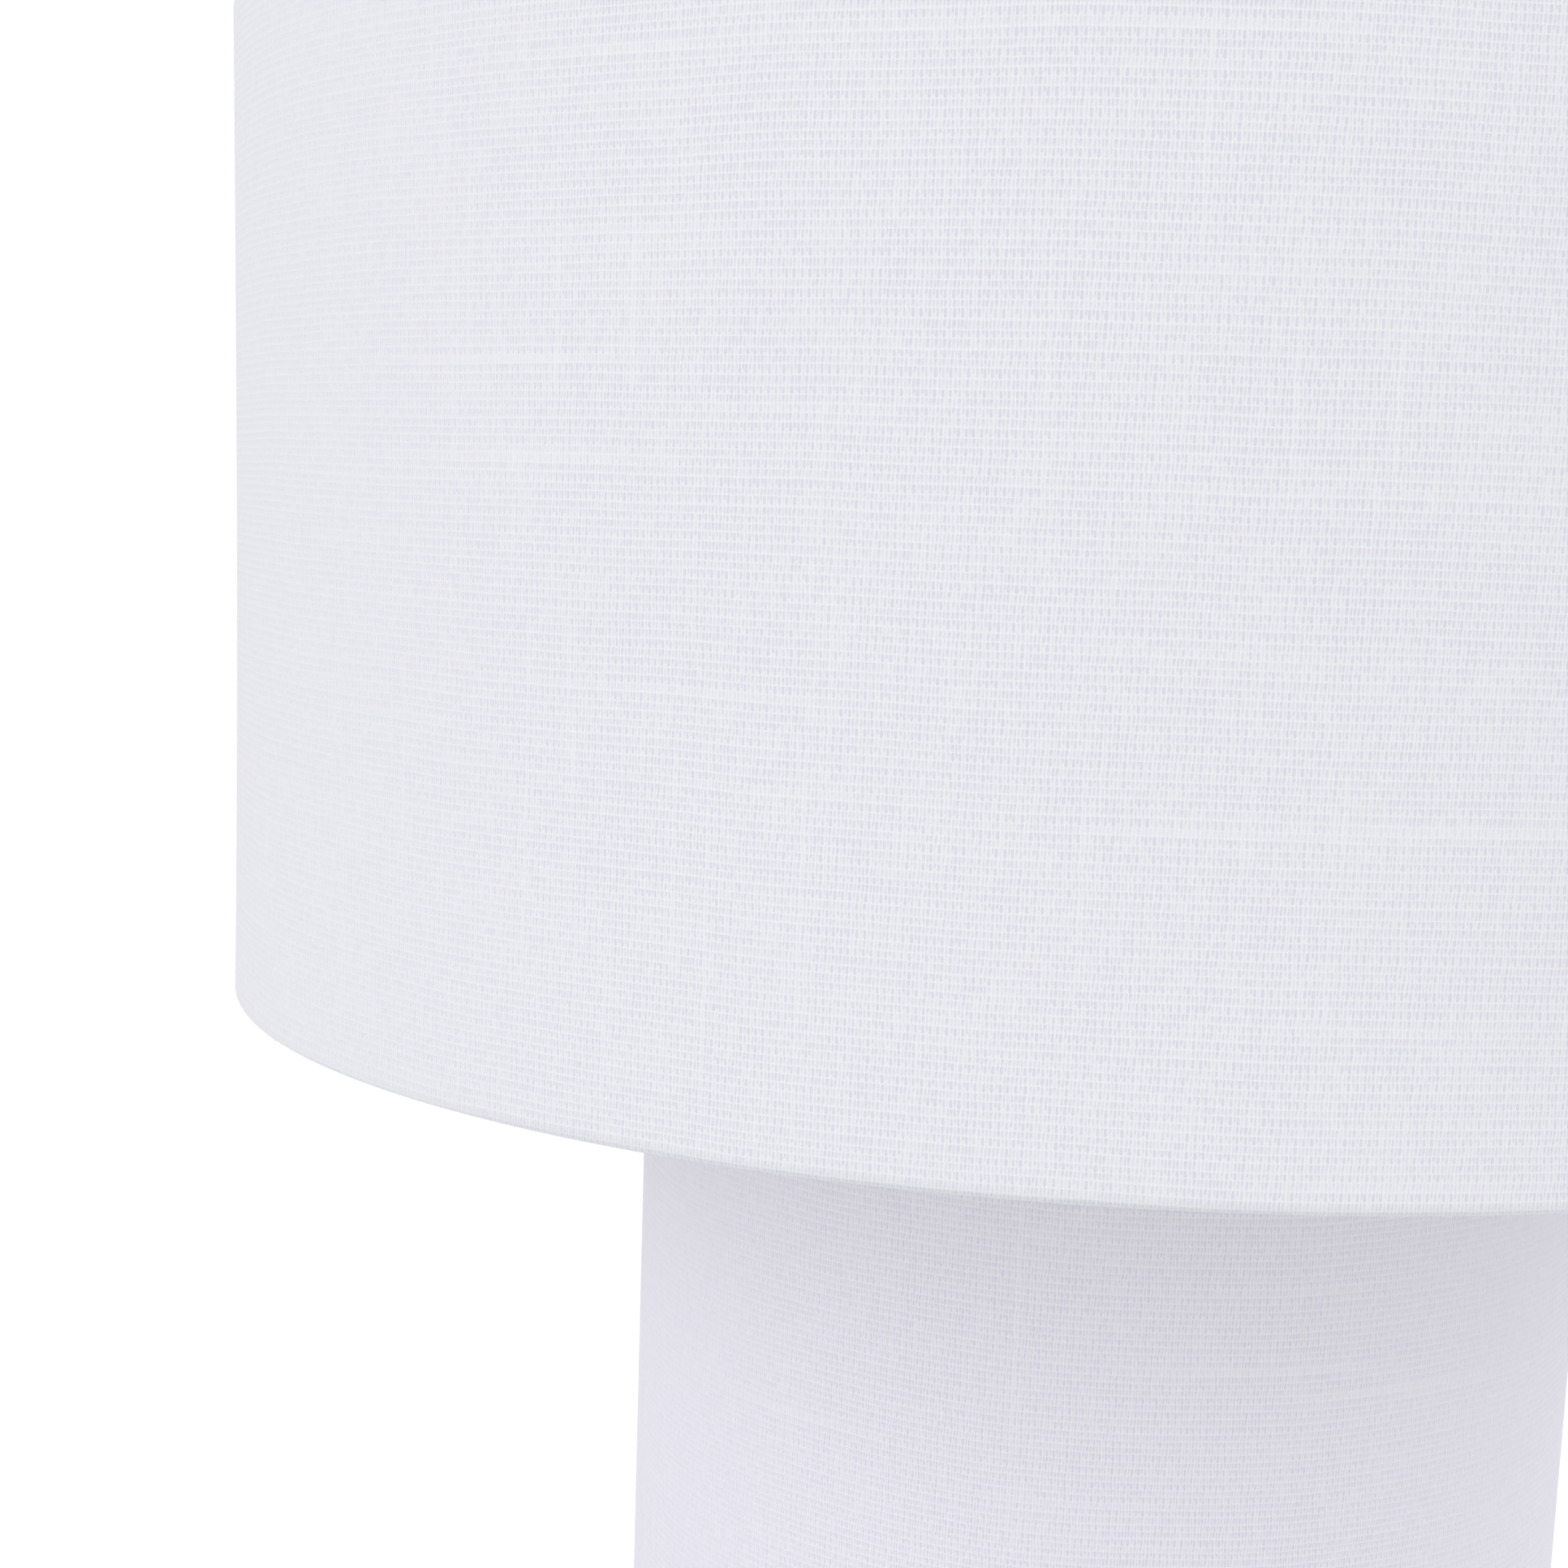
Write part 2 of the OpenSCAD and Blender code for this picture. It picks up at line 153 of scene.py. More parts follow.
def bump(tree, shader, height, strength, distance):
    node = addNode(tree, "ShaderNodeBump")
    feed(tree, node.inputs["Strength"], strength)
    feed(tree, node.inputs["Distance"], distance)
    feed(tree, node.inputs["Height"], height)
    tree.links.new(node.outputs["Normal"], shader.inputs["Normal"])


# ---- effects that several materials share ----
def buildWeaveGroup():
    # fine upright warps in pairs that float over thick level wefts, in metres of cloth
    tree, ins, outs = newGroup(
        "slubWeave",
        [("Cloth", "NodeSocketVector", None), ("Warp Pitch", "NodeSocketFloat", 0.00066),
         ("Weft Pitch", "NodeSocketFloat", 0.00148), ("Slubs", "NodeSocketFloat", 1.0),
         ("Seed", "NodeSocketFloat", 0.0)],
        [("Height", "NodeSocketFloat"), ("Gap", "NodeSocketFloat"), ("Tone", "NodeSocketFloat")],
    )

    def times(a, b, clamp=False):
        return calc(tree, "MULTIPLY", a, b, clamp=clamp)

    def blend(a, scale, offset):
        return calc(tree, "MULTIPLY_ADD", a, scale, offset)

    def patch(x, y, z, detail=2.0):
        return noise(tree, joinXyz(tree, x, y, z), 1.0, detail)

    split = addNode(tree, "ShaderNodeSeparateXYZ")
    feed(tree, split.inputs[0], ins.outputs["Cloth"])
    along, up = split.outputs[0], split.outputs[1]
    seed = ins.outputs["Seed"]
    # threads wander a little from true
    weftPlace = calc(tree, "DIVIDE", up, ins.outputs["Weft Pitch"])
    weftPlace = blend(patch(times(along, 14.0), times(up, 9.0), seed), 1.6, weftPlace)
    weftPlace = blend(patch(times(along, 10.0), times(up, 420.0), seed, 0.0), 0.55, weftPlace)
    row = calc(tree, "FLOOR", weftPlace)
    warpPlace = calc(tree, "DIVIDE", along, ins.outputs["Warp Pitch"])
    warpPlace = blend(patch(times(along, 60.0), times(up, 22.0), seed), 1.6, warpPlace)
    warpPlace = blend(patch(times(along, 450.0), times(row, 0.37), seed, 0.0), 0.9, warpPlace)
    down = calc(tree, "SUBTRACT", 1.0, calc(tree, "SUBTRACT", weftPlace, row))
    odd = calc(tree, "MODULO", calc(tree, "ABSOLUTE", row), 2.0)
    even = calc(tree, "SUBTRACT", 1.0, odd)
    pair = times(warpPlace, 0.5)
    column = calc(tree, "ROUND", pair)
    fromWide = calc(tree, "SUBTRACT", pair, column)
    narrowColumn = calc(tree, "FLOOR", pair)
    fromNarrow = calc(tree, "SUBTRACT", calc(tree, "SUBTRACT", pair, narrowColumn), 0.5)

    def chance(x, y, z):
        node = addNode(tree, "ShaderNodeTexWhiteNoise", noise_dimensions="3D")
        feed(tree, node.inputs["Vector"], joinXyz(tree, x, y, z))
        return node.outputs["Value"]

    def slit(distance, shift, half):
        place = calc(tree, "DIVIDE", calc(tree, "SUBTRACT", distance, shift), half)
        dome = calc(tree, "MAXIMUM", calc(tree, "SUBTRACT", 1.0, times(place, place)), 0.0)
        return times(dome, dome)

    # painted shade: the gap mask marks where the cloth is painted darker, for the shade in the hollows between
    # threads
    # the gap between pairs is wide, the one inside a pair is fine
    # a float covers its left gap as it comes down
    wideLuck = chance(column, row, seed)
    fineLuck = chance(narrowColumn, row, calc(tree, "ADD", seed, 0.5))
    wideHalf = blend(wideLuck, 0.07, 0.180)
    wide = slit(fromWide, times(odd, blend(down, -0.09, 0.04)), wideHalf)
    wideEnds = times(ramp(tree, down, 0.02, 0.18), ramp(tree, down, 0.76, 0.97, 1.0, 0.0))
    wideFade = calc(tree, "SUBTRACT", 1.12, times(odd, ramp(tree, down, 0.35, 0.75, 0.0, 0.6)))
    wide = times(times(wide, wideEnds), times(wideFade, blend(wideLuck, 0.8, 0.6)))
    fine = slit(fromNarrow, blend(down, -0.08, 0.06), blend(fineLuck, 0.06, 0.14))
    fineOdd = times(times(ramp(tree, down, 0.0, 0.15), ramp(tree, down, 0.75, 0.95, 0.75, 0.0)), odd)
    fineEven = times(times(ramp(tree, down, 0.0, 0.12), ramp(tree, down, 0.3, 0.70, 0.95, 0.0)), even)
    fine = times(times(fine, calc(tree, "ADD", fineOdd, fineEven)), blend(fineLuck, 0.9, 0.60))
    # thick places in single wefts fill the gaps and stand proud
    slub = patch(times(along, 7.0), times(row, 3.71), seed, 1.0)
    slub = times(ramp(tree, slub, 0.62, 0.80), ins.outputs["Slubs"])
    streak = ramp(tree, patch(times(narrowColumn, 1.93), times(up, 9.0), seed), 0.60, 0.74)
    openness = patch(times(along, 60.0), times(up, 45.0), seed, 3.0)
    gap = times(calc(tree, "MAXIMUM", wide, fine), ramp(tree, openness, 0.25, 0.75, 0.78, 1.22))
    gap = times(gap, blend(slub, -0.85, 1.0))
    gap = times(gap, blend(streak, -0.45, 1.0), clamp=True)
    cloud = patch(times(along, 16.0), times(up, 16.0), seed, 4.0)
    bead = patch(times(along, 900.0), times(up, 380.0), seed, 1.0)
    tone = blend(cloud, 0.016, 0.957)
    tone = blend(bead, 0.035, tone)
    tone = blend(slub, 0.020, tone)
    tone = blend(streak, 0.010, tone)
    # painted highlight: the thread crowns near the foot of each row are painted brighter, with painted shade at
    # the gaps between them
    paintedCrownHighlight = blend(calc(tree, "COSINE", times(fromWide, 4.0 * math.pi)), -0.65, 0.30)
    tone = blend(times(ramp(tree, down, 0.72, 0.92), paintedCrownHighlight), 0.060, tone)
    # painted highlight: a bright line painted along each thread beside a wide gap
    paintedRidgeHighlight = slit(calc(tree, "ABSOLUTE", fromWide), 0.27, 0.13)
    tone = blend(paintedRidgeHighlight, 0.034, tone)
    hollow = calc(tree, "MAXIMUM", wide, times(fine, 0.7))
    hump = calc(tree, "MAXIMUM", calc(tree, "SUBTRACT", 1.0, hollow), 0.0)
    bulge = calc(tree, "SINE", times(down, math.pi))
    feed(tree, outs.inputs["Height"], blend(slub, 0.5, times(hump, blend(bulge, 0.35, 0.65))))
    feed(tree, outs.inputs["Gap"], gap)
    # painted shade: the cloth is painted darker along the fold round the bottom rim, where it turns under
    tone = times(tone, blend(slit(up, -0.0012, 0.0024), -0.13, 1.0))
    feed(tree, outs.inputs["Tone"], tone)
    return tree


def buildDustGroup():
    # soft patches, for a finish that is never quite even
    tree, ins, outs = newGroup(
        "dustPatches",
        [("Vector", "NodeSocketVector", None), ("Scale", "NodeSocketFloat", 40.0)],
        [("Mask", "NodeSocketFloat"), ("Grain", "NodeSocketFloat")],
    )
    broad = noise(tree, ins.outputs["Vector"], ins.outputs["Scale"], 5.0, 0.6)
    fine = noise(tree, ins.outputs["Vector"], calc(tree, "MULTIPLY", ins.outputs["Scale"], 40.0), 2.0)
    feed(tree, outs.inputs["Mask"], ramp(tree, broad, 0.35, 0.75))
    feed(tree, outs.inputs["Grain"], fine)
    return tree


def buildOakGroup():
    # growth rings, long fibres and open pores, with the leg along Z
    tree, ins, outs = newGroup(
        "oakGrain",
        [("Leg", "NodeSocketVector", None), ("Seed", "NodeSocketFloat", 0.0)],
        [("Dark", "NodeSocketFloat"), ("Pores", "NodeSocketFloat"), ("Height", "NodeSocketFloat")],
    )
    split = addNode(tree, "ShaderNodeSeparateXYZ")
    feed(tree, split.inputs[0], ins.outputs["Leg"])
    x, y, z = split.outputs
    seed = ins.outputs["Seed"]

    def drawnOut(across, down, detail, roughness=0.5):
        # noise with so many cells for each metre across the leg and down it
        sideways = calc(tree, "MULTIPLY", x, across)
        deep = calc(tree, "MULTIPLY", y, across)
        return noise(tree, joinXyz(tree, sideways, deep, calc(tree, "MULTIPLY_ADD", z, down, seed)),
                     1.0, detail, roughness)

    bend = drawnOut(25.0, 3.0, 3.0)
    ringPlace = calc(tree, "MULTIPLY_ADD", y, 330.0, calc(tree, "MULTIPLY", bend, 9.0))
    ringPlace = calc(tree, "MULTIPLY_ADD", calc(tree, "MULTIPLY", x, x), 2600.0, ringPlace)
    ring = calc(tree, "MULTIPLY_ADD", calc(tree, "SINE", ringPlace), 0.5, 0.5)
    fibre = drawnOut(900.0, 18.0, 4.0, 0.6)
    pores = ramp(tree, drawnOut(2400.0, 90.0, 1.0), 0.60, 0.68)
    pores = calc(tree, "MULTIPLY", pores, ramp(tree, ring, 0.2, 0.9, 0.25, 1.0))
    dark = calc(tree, "MULTIPLY_ADD", ring, 0.55, calc(tree, "MULTIPLY_ADD", fibre, 0.9, -0.3), clamp=True)
    feed(tree, outs.inputs["Dark"], dark)
    feed(tree, outs.inputs["Pores"], pores)
    ridges = calc(tree, "MULTIPLY", fibre, 0.3)
    feed(tree, outs.inputs["Height"], calc(tree, "MULTIPLY_ADD", pores, -1.0, ridges))
    return tree


weaveGroup = buildWeaveGroup()
dustGroup = buildDustGroup()
oakGroup = buildOakGroup()
print("shared effects built")


# ---- materials ----
cottonLook = {
    "warpPitch": 0.000656,
    "weftPitch": 0.00148,
    "slubStrength": 1.0,
    "threadColour": (0.699, 0.703, 0.735, 1),
    # painted shade: the colour of the shade in the gaps between threads
    "gapShadeColour": (0.621, 0.614, 0.695, 1),
    "fuzzColour": (0.676, 0.675, 0.728, 1),  # what the cloth fades to where it turns away
    # painted shade: a lilac tint on the lower drum's cotton, for the shade under the upper drum
    "lowerShadeTint": (1.002, 0.982, 1.010),
    "nepColour": (0.40, 0.36, 0.34, 1),
    "nepShare": 0.20,
    "nepCells": (44.0, 17.0, 1.0),  # cells for each metre, which may hold one speck
    "nepCore": 0.012,
    "nepEdge": 0.03,
    "nepStrength": 0.6,
    "bumpShare": 0.45,
    "bumpDepth": 0.00018,
    "napFrom": 0.16,  # how far the cloth has turned away, 0 to 1
    "napTo": 0.60,
    "napMost": 0.72,
    "roughness": 0.92,
    "sheen": 0.12,
    "sheenRoughness": 0.5,
    "gloss": 0.2,
}


def makeCotton(name, seed, tint):
    material, tree, shader = newMaterial(name)
    cloth = addNode(tree, "ShaderNodeUVMap", uv_map="cloth").outputs[0]
    weave = useGroup(tree, weaveGroup, Cloth=cloth, Slubs=cottonLook["slubStrength"], Seed=seed)
    feed(tree, weave.inputs["Warp Pitch"], cottonLook["warpPitch"])
    feed(tree, weave.inputs["Weft Pitch"], cottonLook["weftPitch"])
    # painted shade in the gaps between threads
    colour = mixColour(tree, weave.outputs["Gap"], cottonLook["threadColour"], cottonLook["gapShadeColour"])
    # the tone holds random yarn tone, painted highlights on the threads and painted shade along the bottom fold
    toned = addNode(tree, "ShaderNodeVectorMath", operation="SCALE")
    feed(tree, toned.inputs[0], colour)
    feed(tree, toned.inputs["Scale"], weave.outputs["Tone"])
    # the nap hides the gaps where the cloth turns away
    facing = addNode(tree, "ShaderNodeLayerWeight").outputs["Facing"]
    nap = ramp(tree, facing, cottonLook["napFrom"], cottonLook["napTo"], 0.0, cottonLook["napMost"])
    soft = mixColour(tree, nap, toned.outputs[0], cottonLook["fuzzColour"])
    # painted shade: the tint makes the lower drum's copy of the cotton more lilac, like cloth in shade
    tinted = addNode(tree, "ShaderNodeVectorMath", operation="MULTIPLY")
    feed(tree, tinted.inputs[0], soft)
    tinted.inputs[1].default_value = tint
    # rare specks of seed husk, spun into the yarn
    stretch = addNode(tree, "ShaderNodeVectorMath", operation="MULTIPLY")
    feed(tree, stretch.inputs[0], cloth)
    stretch.inputs[1].default_value = cottonLook["nepCells"]
    cells = addNode(tree, "ShaderNodeTexVoronoi")
    feed(tree, cells.inputs["Vector"], stretch.outputs[0])
    cells.inputs["Scale"].default_value = 1.0
    pick = addNode(tree, "ShaderNodeSeparateColor")
    feed(tree, pick.inputs[0], cells.outputs["Color"])
    chosen = calc(tree, "LESS_THAN", pick.outputs[0], cottonLook["nepShare"])
    spot = ramp(tree, cells.outputs["Distance"], cottonLook["nepCore"], cottonLook["nepEdge"],
                cottonLook["nepStrength"], 0.0)
    speck = calc(tree, "MULTIPLY", spot, chosen)
    specked = mixColour(tree, speck, tinted.outputs[0], cottonLook["nepColour"])
    setShader(tree, shader, Base_Color=specked, Roughness=cottonLook["roughness"],
              Sheen_Weight=cottonLook["sheen"], Sheen_Roughness=cottonLook["sheenRoughness"],
              Specular_IOR_Level=cottonLook["gloss"])
    bump(tree, shader, weave.outputs["Height"], cottonLook["bumpShare"], cottonLook["bumpDepth"])
    return material


fibreLook = {
    "first": (0.84, 0.83, 0.88, 1),
    "second": (0.92, 0.91, 0.95, 1),
    "patchScale": 60.0,
    "roughness": 0.95,
    "gloss": 0.15,
}


def makeFibre():
    material, tree, shader = newMaterial("cottonFibre")
    place = addNode(tree, "ShaderNodeTexCoord").outputs["Object"]
    dust = useGroup(tree, dustGroup, Vector=place, Scale=fibreLook["patchScale"])
    shade = mixColour(tree, dust.outputs["Mask"], fibreLook["first"], fibreLook["second"])
    setShader(tree, shader, Base_Color=shade, Roughness=fibreLook["roughness"],
              Specular_IOR_Level=fibreLook["gloss"])
    return material


plainLooks = {  # two tones, roughness, metal, bump depth in metres, scale of the patches
    "liner": ((0.90, 0.90, 0.88, 1), (0.86, 0.86, 0.84, 1), 0.50, 0.62, 0, 0.00003, 30),
    "frame_wire": ((0.86, 0.86, 0.85, 1), (0.80, 0.80, 0.79, 1), 0.38, 0.50, 0, 0.00003, 60),
    "holder_plastic": ((0.022, 0.022, 0.023, 1), (0.035, 0.034, 0.034, 1), 0.30, 0.45, 0, 0.00002, 90),
    "ceramic": ((0.84, 0.82, 0.77, 1), (0.78, 0.76, 0.70, 1), 0.12, 0.22, 0, 0.00002, 120),
    "brass": ((0.72, 0.52, 0.24, 1), (0.60, 0.42, 0.18, 1), 0.25, 0.42, 1, 0.00001, 150),
    "bulb_metal": ((0.72, 0.72, 0.72, 1), (0.60, 0.60, 0.60, 1), 0.22, 0.36, 1, 0.00001, 150),
    "bulb_plastic": ((0.88, 0.88, 0.87, 1), (0.83, 0.83, 0.81, 1), 0.32, 0.42, 0, 0.00001, 80),
    "opal_glass": ((0.90, 0.89, 0.86, 1), (0.87, 0.86, 0.83, 1), 0.10, 0.16, 0, 0.000005, 40),
    "steel": ((0.58, 0.58, 0.59, 1), (0.46, 0.46, 0.47, 1), 0.26, 0.42, 1, 0.00001, 200),
    "black_metal": ((0.018, 0.018, 0.019, 1), (0.032, 0.031, 0.030, 1), 0.42, 0.58, 0, 0.00004, 70),
    "lead_sheath": ((0.80, 0.80, 0.79, 1), (0.74, 0.74, 0.72, 1), 0.45, 0.60, 0, 0.00002, 90),
    "gland_plastic": ((0.020, 0.020, 0.020, 1), (0.034, 0.033, 0.032, 1), 0.45, 0.60, 0, 0.00003, 120),
    "dimmer_case": ((0.06, 0.07, 0.08, 1), (0.08, 0.09, 0.10, 1), 0.45, 0.55, 0, 0.00002, 100),
    "nylon": ((0.82, 0.81, 0.75, 1), (0.76, 0.74, 0.68, 1), 0.38, 0.50, 0, 0.00002, 120),
    "foot_rubber": ((0.022, 0.022, 0.022, 1), (0.055, 0.053, 0.050, 1), 0.65, 0.85, 0, 0.00008, 80),
}


def makePlain(name):
    first, second, smooth, rough, metal, depth, scale = plainLooks[name]
    material, tree, shader = newMaterial(name)
    place = addNode(tree, "ShaderNodeTexCoord").outputs["Object"]
    dust = useGroup(tree, dustGroup, Vector=place, Scale=float(scale))
    feed(tree, shader.inputs["Base Color"], mixColour(tree, dust.outputs["Mask"], first, second))
    spread = calc(tree, "MULTIPLY_ADD", dust.outputs["Mask"], rough - smooth, smooth)
    feed(tree, shader.inputs["Roughness"], spread)
    setShader(tree, shader, Metallic=float(metal))
    bump(tree, shader, dust.outputs["Grain"], 0.4, depth)
    return material


oakLook = {
    "pale": (0.56, 0.385, 0.225, 1),
    "dark": (0.40, 0.250, 0.130, 1),
    "pore": (0.20, 0.115, 0.055, 1),
    "poreStrength": 0.75,
    "roughness": 0.42,
    "poreRoughness": 0.3,
    "gloss": 0.4,
    "bumpShare": 0.5,
    "bumpDepth": 0.00012,
}


def makeOak(name, place, turn, seed):
    material, tree, shader = newMaterial(name)
    local = addNode(tree, "ShaderNodeMapping", vector_type="TEXTURE")
    feed(tree, local.inputs["Vector"], addNode(tree, "ShaderNodeTexCoord").outputs["Object"])
    local.inputs["Location"].default_value = place
    local.inputs["Rotation"].default_value = turn
    grain = useGroup(tree, oakGroup, Leg=local.outputs[0], Seed=seed)
    wood = mixColour(tree, grain.outputs["Dark"], oakLook["pale"], oakLook["dark"])
    pores = calc(tree, "MULTIPLY", grain.outputs["Pores"], oakLook["poreStrength"])
    wood = mixColour(tree, pores, wood, oakLook["pore"])
    feed(tree, shader.inputs["Base Color"], wood)
    rough = calc(tree, "MULTIPLY_ADD", grain.outputs["Pores"], oakLook["poreRoughness"], oakLook["roughness"])
    feed(tree, shader.inputs["Roughness"], rough)
    setShader(tree, shader, Specular_IOR_Level=oakLook["gloss"])
    bump(tree, shader, grain.outputs["Height"], oakLook["bumpShare"], oakLook["bumpDepth"])
    return material


materials = {name: makePlain(name) for name in plainLooks}
cottonUpper = makeCotton("cottonUpper", 3.0, (1.0, 1.0, 1.0))
# a shaded copy of the same cotton: the lower drum's lilac tint is painted shade
cottonLower = makeCotton("cottonLower", 11.0, cottonLook["lowerShadeTint"])
fibre = makeFibre()
joints = {joint["name"]: joint for joint in frame["joints"]}
legNames = ("rear", "left", "right")


def legFrame(leg):
    # the pivot, the turn from upright and the way down one leg
    joint = joints[leg + "_leg_fold"]
    pivot = Vector(joint["pos_m"])
    bearing = math.atan2(pivot.y - axisY, pivot.x - axisX)
    lean = math.radians(joint["range_deg"][1])  # a leg folds in until it hangs upright
    out = math.sin(lean)
    down = Vector((out * math.cos(bearing), out * math.sin(bearing), -math.cos(lean)))
    return pivot, (0.0, -lean, bearing), down


oaks = {}
for index, leg in enumerate(legNames):
    pivot, turn, _ = legFrame(leg)
    oaks[leg] = makeOak("oak." + leg, pivot, turn, 5.0 + 7.0 * index)
for part in frame["record"]["subparts"]:
    node, slot = part["node"], part["material_slot"]
    if slot == "cotton":
        continue
    material = oaks[node.split("_")[0]] if slot == "oak" else materials[slot]
    mesh = frame["nodes"][node].data
    mesh.materials.clear()
    mesh.materials.append(material)
print("materials made")


# ---- the cotton on the two drums ----
coverShape = {
    "clothThickness": 0.0006,
    "cornerRadius": 0.0011,
    "hemInset": 0.0024,  # from the cover's face to the glued cloth
    "hemPath": ((0.0, 0.014), (0.0, 0.0105), (0.0004, 0.0078), (0.0016, 0.0058)),  # further in, and up
    "lap": 0.012,  # overlap at the upright seam
    "lapEase": 0.00005,  # room between the lapped layers
    "seamBearing": 90.0,  # the seam stands at the back
    "ripples": ((5, 0.00012, 0.7), (13, 0.00008, 2.1)),  # waves round the drum, height, offset
    "upperWaist": 0.00048,  # how far the stretched wall draws in between its hoops
    "lowerWaist": 0.00006,
    "around": 540,
    "wallSteps": 22,
}


def arcPoints(centre, radius, start, end, steps):
    points = []
    for step in range(steps + 1):
        angle = math.radians(start + (end - start) * step / steps)
        points.append((centre[0] + radius * math.cos(angle), centre[1] + radius * math.sin(angle)))
    return points


def hemProfile(radius, hoopRadius, wire):
    # from the glued edge inside, round under the hoop, to the foot of the wall; heights from the rim
    shape = coverShape
    cloth = shape["clothThickness"]
    corner = shape["cornerRadius"]
    roll = wire + cloth
    inner = radius - shape["hemInset"]
    points = [(inner - further, up) for further, up in shape["hemPath"]]
    points += arcPoints((hoopRadius, roll), roll, 165, 270, 6)
    points += arcPoints((radius - corner, corner), corner, 270, 360, 7)
    return points


def coverProfile(radius, z0, z1, hoopRadius, wire, waist):
    hem = hemProfile(radius, hoopRadius, wire)
    wall = []
    foot, head = z0 + coverShape["cornerRadius"], z1 - coverShape["cornerRadius"]
    for step in range(1, coverShape["wallSteps"]):
        t = step / coverShape["wallSteps"]
        drawn = waist * 4 * t * (1 - t) * (1.3 - 0.6 * t)  # deepest a little below the middle
        wall.append((radius - drawn, foot + (head - foot) * t))
    low = [(r, z0 + h) for r, h in hem]
    high = [(r, z1 - h) for r, h in reversed(hem)]
    return low + wall + high, len(low) - 1


def profileNormals(profile):
    # the side of the profile that faces away from the hoops
    normals = []
    for k in range(len(profile)):
        r0, h0 = profile[max(k - 1, 0)]
        r1, h1 = profile[min(k + 1, len(profile) - 1)]
        length = math.hypot(r1 - r0, h1 - h0)
        normals.append(((h1 - h0) / length, (r0 - r1) / length))
    return normals


def makeCover(name, cadNode, hoopNode, material, waist):
    low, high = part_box(cadNode)
    radius = (high.x - low.x) / 2
    hoopLow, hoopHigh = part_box(hoopNode)
    wire = (hoopHigh.z - hoopLow.z) / 2
    hoopRadius = (hoopHigh.x - hoopLow.x) / 2 - wire
    profile, footIndex = coverProfile(radius, low.z, high.z, hoopRadius, wire, waist)
    lengths = [0.0]
    for (r0, h0), (r1, h1) in zip(profile, profile[1:]):
        lengths.append(lengths[-1] + math.hypot(r1 - r0, h1 - h0))
    foot = lengths[footIndex]
    outward = profileNormals(profile)
    shape = coverShape
    lapAngle = shape["lap"] / radius
    turns = shape["around"]
    total = 2 * math.pi + lapAngle
    start = math.radians(shape["seamBearing"])
    step = total / turns
    mesh = bpy.data.meshes.new(name)
    work = bmesh.new()
    cloth = work.loops.layers.uv.new("cloth")
    grid = []
    for i in range(turns + 1):
        angle = i * step
        # the last stretch lies over the first, one cloth proud
        proud = min(max((angle - (2 * math.pi - 0.5 * lapAngle)) / (0.5 * lapAngle), 0.0), 1.0)
        lift = proud * proud * (3 - 2 * proud) * (shape["clothThickness"] + shape["lapEase"])
        ripple = sum(depth * math.sin(waves * angle + offset) for waves, depth, offset in shape["ripples"])
        c, s = math.cos(start + angle), math.sin(start + angle)
        column = []
        for (r, h), (outR, outZ) in zip(profile, outward):
            share = math.sin(math.pi * min(max((h - low.z) / (high.z - low.z), 0.0), 1.0))
            far = r + lift * outR + ripple * share
            column.append(work.verts.new((axisX + far * c, axisY + far * s, h + lift * outZ)))
        grid.append(column)
    for i in range(turns):
        for k in range(len(profile) - 1):
            face = work.faces.new((grid[i][k], grid[i + 1][k], grid[i + 1][k + 1], grid[i][k + 1]))
            corners = ((i, k), (i + 1, k), (i + 1, k + 1), (i, k + 1))
            for loop, (a, b) in zip(face.loops, corners):
                loop[cloth].uv = (a * step * radius, lengths[b] - foot)
    work.to_mesh(mesh)
    work.free()
    mesh.materials.append(material)
    shadeSmooth(mesh)
    piece = newObject(name, mesh)
    thick = piece.modifiers.new("clothThickness", "SOLIDIFY")
    thick.thickness = shape["clothThickness"]
    thick.offset = -1.0
    thick.use_even_offset = False
    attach(piece, "lamp")
    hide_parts(cadNode)
    cut = (total * radius, lengths[-1])
    print(name, "cut", [round(side, 4) for side in cut], "triangles", turns * (len(profile) - 1) * 4)
    return piece, cut


upperCover, upperCut = makeCover("upperCover", "upper_cover", "upper_bottom_hoop", cottonUpper,
                                 coverShape["upperWaist"])
lowerCover, lowerCut = makeCover("lowerCover", "lower_cover", "lower_bottom_hoop", cottonLower,
                                 coverShape["lowerWaist"])
print("covers made")


# ---- pieces that repeat, made with geometry nodes ----
def newGeometryTree(name, ins):
    tree = bpy.data.node_groups.new(name, "GeometryNodeTree")
    for label, kind, value in ins:
        socket = tree.interface.new_socket(name=label, in_out="INPUT", socket_type=kind)
        if value is not None:
            socket.default_value = value
    tree.interface.new_socket(name="Geometry", in_out="OUTPUT", socket_type="NodeSocketGeometry")
    return tree, addNode(tree, "NodeGroupInput"), addNode(tree, "NodeGroupOutput")


def bakeTree(name, tree, body, slot, **values):
    carrier = newObject(name + "Carrier", bpy.data.meshes.new(name + "Carrier"))
    modifier = carrier.modifiers.new("build", "NODES")
    modifier.node_group = tree
    for item in tree.interface.items_tree:
        if item.in_out == "INPUT" and item.name in values:
            modifier[item.identifier] = values[item.name]
    bpy.context.view_layer.update()
    evaluated = carrier.evaluated_get(bpy.context.evaluated_depsgraph_get())
    mesh = bpy.data.meshes.new_from_object(evaluated)
    mesh.name = name
    bpy.data.objects.remove(carrier)
    piece = newObject(name, mesh)
    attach(piece, body)
    print(name, "faces", len(mesh.polygons))


